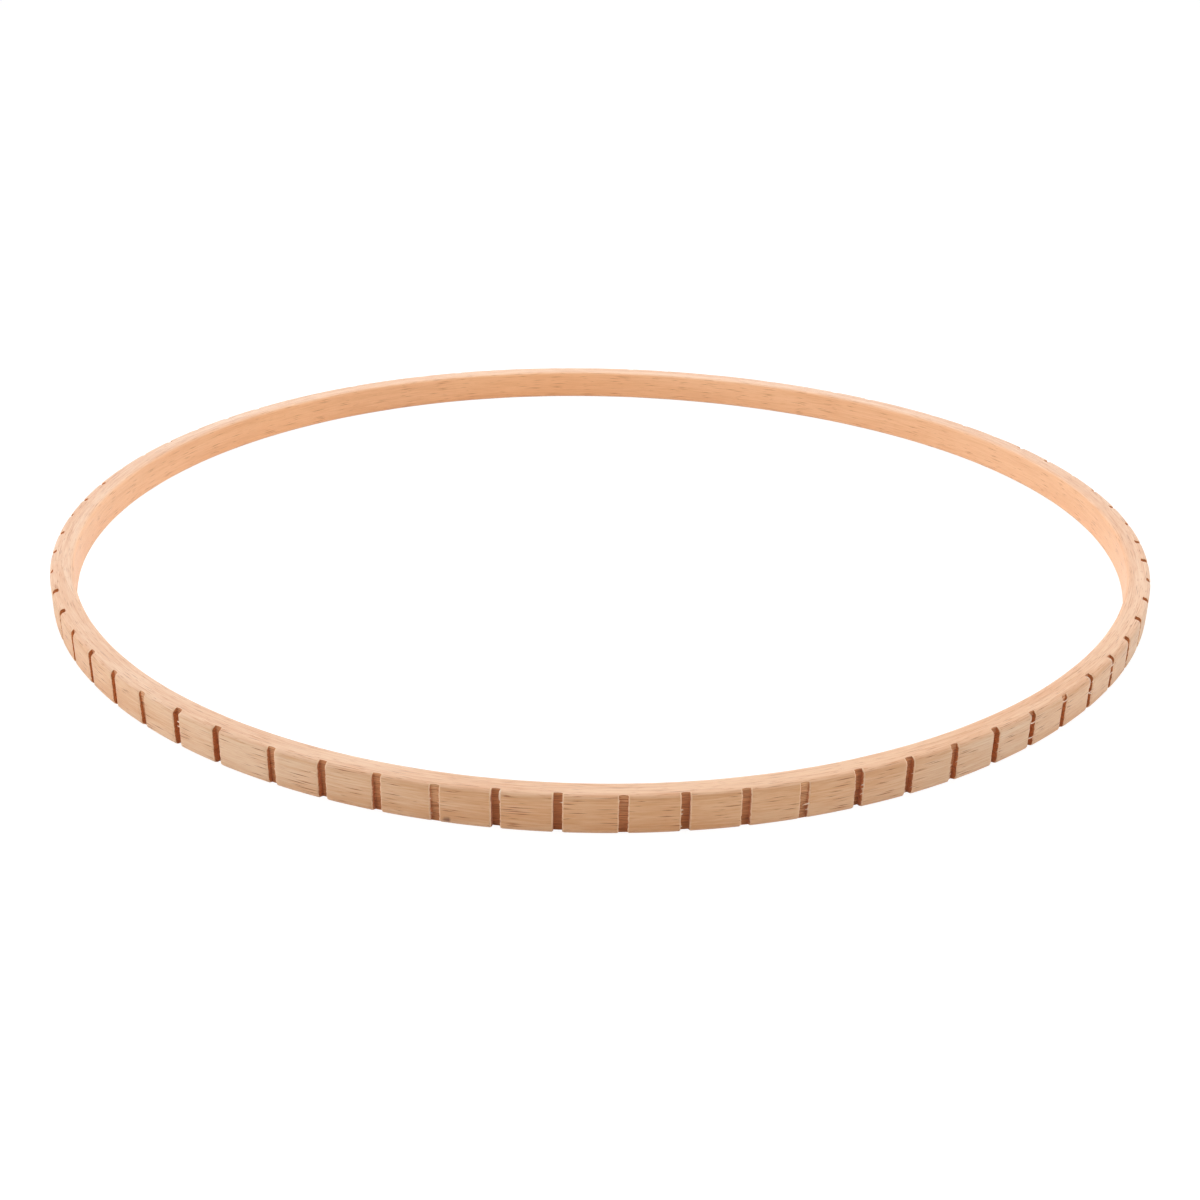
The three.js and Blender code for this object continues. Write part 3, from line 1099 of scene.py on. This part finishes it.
def beech_material():
    """Bare beech: planed faces, sawn cuts with painted shade, pale edges that are partly worn and partly
    a painted highlight, and a bruise.
    """
    shader = Shader("beech")
    flecks = ray_flecks(shader, FLECK_SIZE, FLECK_SHARE)
    sawn = shader.attribute("sawn")
    colour = shader.mix(sawn, plain_wood(shader, flecks), sawn_wood(shader))
    # Pale edges, part wear and part painted highlight, strongest near the top where the light from above
    # catches them.
    worn = shader.ramp(shader.noise(shader.grain(*WEAR_AND_GLINT_SIZE)), *WEAR_AND_GLINT_RANGE, *WEAR_AND_GLINT_STRENGTH)
    worn = shader.maths("MAXIMUM", worn, shader.height(*WORN_AND_LIT_TOP, WORN_AND_LIT_TOP_STRENGTH))
    colour = shader.mix(shader.times(shader.attribute("arris"), worn), colour, ARRIS_PALE)
    bruised = shader.ramp(shader.attribute("bruise"), *BRUISE_RANGE, end=BRUISE_STRENGTH)
    shader.give("Base Color", shader.mix(bruised, colour, BRUISE_BROWN))

    pores = shader.noise(shader.grain(*PORE_SIZE), detail=3.0, roughness=0.6)
    rough = shader.ramp(pores, *PORE_RANGE, *BEECH_ROUGHNESS)
    shader.give("Roughness", shader.maths("ADD", rough, shader.times(sawn, SAWN_ROUGHER)))
    shader.bump(shader.maths("SUBTRACT", pores, shader.times(flecks, FLECK_RELIEF)), PORE_RELIEF)
    shader.give("Specular IOR Level", BEECH_GLOSS)
    shader.give("Sheen Weight", BEECH_SHEEN)
    shader.give("Sheen Roughness", BEECH_SHEEN_SPREAD)
    return shader.material


def speckled(name, pale, deep, roughness, specks, detail, relief):
    """A shader with fine specks of two colours, so many to the metre."""
    shader = Shader(name)
    noise = shader.noise(shader.place(), detail=detail, scale=specks)
    shader.give("Base Color", shader.mix(shader.ramp(noise, *SPECK_RANGE), pale, deep))
    shader.give("Roughness", shader.ramp(noise, *PORE_RANGE, *roughness))
    shader.bump(noise, relief)
    return shader


def fibre_material():
    detail = (FIBRE_SPECKS, FIBRE_DETAIL, FIBRE_RELIEF)
    shader = speckled("torn_fibre", FIBRE_PALE, FIBRE_TAN, FIBRE_ROUGHNESS, *detail)
    shader.give("Sheen Weight", FIBRE_SHEEN)
    shader.give("Sheen Roughness", FIBRE_SHEEN_SPREAD)
    return shader.material


def glue_material():
    detail = (GLUE_SPECKS, GLUE_DETAIL, GLUE_RELIEF)
    return speckled("dried_glue", GLUE_AMBER, GLUE_BROWN, GLUE_ROUGHNESS, *detail).material


# The camera, from the middle of the bent circle
CAMERA_PLACE = (0.0, -412.43, 178.47)
CAMERA_AIM = (0.059, -31.464, 0.0)
CAMERA_ROLL = 1.044
CAMERA_LENS = 50.0
CAMERA_SENSOR = 36.0
CAMERA_NEAR = 10.0
CAMERA_FAR = 20000.0


def add_camera():
    """The photograph's viewpoint, placed from the hoop's centre."""
    centre = Vector(hoop_centre())
    place = (centre + Vector(CAMERA_PLACE)) * MM
    aim = (centre + Vector(CAMERA_AIM)) * MM
    back = (place - aim).normalized()
    right = Vector((0.0, 0.0, 1.0)).cross(back).normalized()
    up = back.cross(right)
    roll = math.radians(CAMERA_ROLL)
    rolled_right = right * math.cos(roll) + up * math.sin(roll)
    rolled_up = up * math.cos(roll) - right * math.sin(roll)
    camera_data = bpy.data.cameras.new("camera")
    camera_data.lens = CAMERA_LENS
    camera_data.sensor_width = CAMERA_SENSOR
    camera_data.clip_start = CAMERA_NEAR * MM
    camera_data.clip_end = CAMERA_FAR * MM
    camera = bpy.data.objects.new("camera", camera_data)
    turn = Matrix((rolled_right, rolled_up, back)).transposed().to_4x4()
    camera.matrix_world = Matrix.Translation(place) @ turn
    bpy.context.scene.collection.objects.link(camera)
    bpy.context.scene.camera = camera


# The studio. Its lengths are in metres.
FLOOR_HALF = 3.0
FLOOR_CORNERS = ((-1, -1), (1, -1), (1, 1), (-1, 1))
FLOOR_WHITE = grey(0.95)
FLOOR_SHADED = grey(0.2)
FLOOR_GLOW = 0.94
ROOM_BRIGHT = grey(1.19)
ROOM_DIM = grey(0.07)
ROOM_ABOVE = grey(0.21)
ROOM_DEPTH_RANGE = (-0.85, 0.1)
ROOM_HEIGHT_RANGE = (0.1, 0.75)
TOP_BOX_HEIGHT = 0.5
TOP_BOX_BACK = 0.16
TOP_BOX_WIDTH = 0.42
TOP_BOX_POWER = 1.94
SIDE_BOX_DISTANCE = 0.8
SIDE_BOX_HEIGHT = 0.16
SIDE_BOX_WIDTH = 0.6
SIDE_BOX_TALL = 0.3
SIDE_BOXES = (
    ("softbox_left", 180.0, 1.28),
    ("softbox_right", 350.0, 0.74),
    ("softbox_front_left", 218.0, 1.28),
    ("softbox_front_right", 322.0, 0.88),
)


def seen_ray(nodes):
    """1 for rays from the camera and for those that a mirror or glass sends on."""
    path = nodes.node("ShaderNodeLightPath")
    total = path.outputs["Is Camera Ray"]
    for name in ("Is Glossy Ray", "Is Transmission Ray"):
        total = nodes.maths("MAXIMUM", total, path.outputs[name])
    return total


def floor_material():
    """A white floor. What is seen of it glows a little, so that only a faint shadow is left."""
    material = bpy.data.materials.new("white_floor")
    nodes = Nodes(material)
    nodes.tree.nodes.clear()
    plain = nodes.node("ShaderNodeBsdfDiffuse", FLOOR_WHITE)
    shaded = nodes.node("ShaderNodeBsdfDiffuse", FLOOR_SHADED)
    glow = nodes.node("ShaderNodeEmission", WHITE, FLOOR_GLOW)
    seen = nodes.node("ShaderNodeAddShader", shaded.outputs[0], glow.outputs[0])
    choice = nodes.node("ShaderNodeMixShader", seen_ray(nodes), plain.outputs[0], seen.outputs[0])
    nodes.node("ShaderNodeOutputMaterial", choice.outputs[0])
    return material


def add_floor():
    corners = [(x * FLOOR_HALF, y * FLOOR_HALF, 0.0) for x, y in FLOOR_CORNERS]
    mesh = bpy.data.meshes.new("floor")
    mesh.from_pydata(corners, [], [(0, 1, 2, 3)])
    floor = bpy.data.objects.new("floor", mesh)
    bpy.context.scene.collection.objects.link(floor)
    floor.data.materials.append(floor_material())


def add_world():
    """A bright surround, dimmer on the viewer's side and above, that is seen as plain white."""
    world = bpy.data.worlds.new("studio")
    bpy.context.scene.world = world
    nodes = Nodes(world)
    nodes.tree.nodes.clear()
    way = nodes.node("ShaderNodeTexCoord").outputs["Generated"]
    light = nodes.mix(nodes.ramp(nodes.part(way, "Y"), *ROOM_DEPTH_RANGE), ROOM_DIM, ROOM_BRIGHT)
    light = nodes.mix(nodes.ramp(nodes.part(way, "Z"), *ROOM_HEIGHT_RANGE), light, ROOM_ABOVE)
    background = nodes.node("ShaderNodeBackground", nodes.mix(seen_ray(nodes), light, WHITE))
    nodes.node("ShaderNodeOutputWorld", background.outputs[0])


def add_softbox(name, place, width, tall, power):
    """A soft lamp that faces the middle of the hoop."""
    lamp = bpy.data.lights.new(name, "AREA")
    lamp.shape = "RECTANGLE"
    lamp.size = width
    lamp.size_y = tall
    lamp.energy = power
    softbox = bpy.data.objects.new(name, lamp)
    softbox.location = place
    softbox.rotation_euler = (-Vector(place)).to_track_quat("-Z", "Y").to_euler()
    bpy.context.scene.collection.objects.link(softbox)


def add_lamps():
    """One softbox above the hoop, one low on each side, and one low at each front corner."""
    above = (0.0, TOP_BOX_BACK, TOP_BOX_HEIGHT)
    add_softbox("softbox_above", above, TOP_BOX_WIDTH, TOP_BOX_WIDTH, TOP_BOX_POWER)
    for name, direction, power in SIDE_BOXES:
        turn = math.radians(direction)
        place = (SIDE_BOX_DISTANCE * math.cos(turn), SIDE_BOX_DISTANCE * math.sin(turn), SIDE_BOX_HEIGHT)
        add_softbox(name, place, SIDE_BOX_WIDTH, SIDE_BOX_TALL, power)


def dress(piece, material, slot, *nodes):
    """Gives a piece its material and its body, and hides the solids that it stands for."""
    piece.data.materials.append(material)
    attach(piece, "root")
    if nodes:
        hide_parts(*nodes)


def build():
    bpy.context.scene.view_settings.view_transform = "Standard"
    add_camera()
    add_world()
    add_lamps()
    add_floor()
    cuts = saw_cuts()
    dress(hoop_piece(cuts), beech_material(), "beech", "hoop_lath")
    dress(glue_piece(), glue_material(), "dried_glue", "scarf_glue")
    dress(fibre_piece(cuts), fibre_material(), "beech")


build()
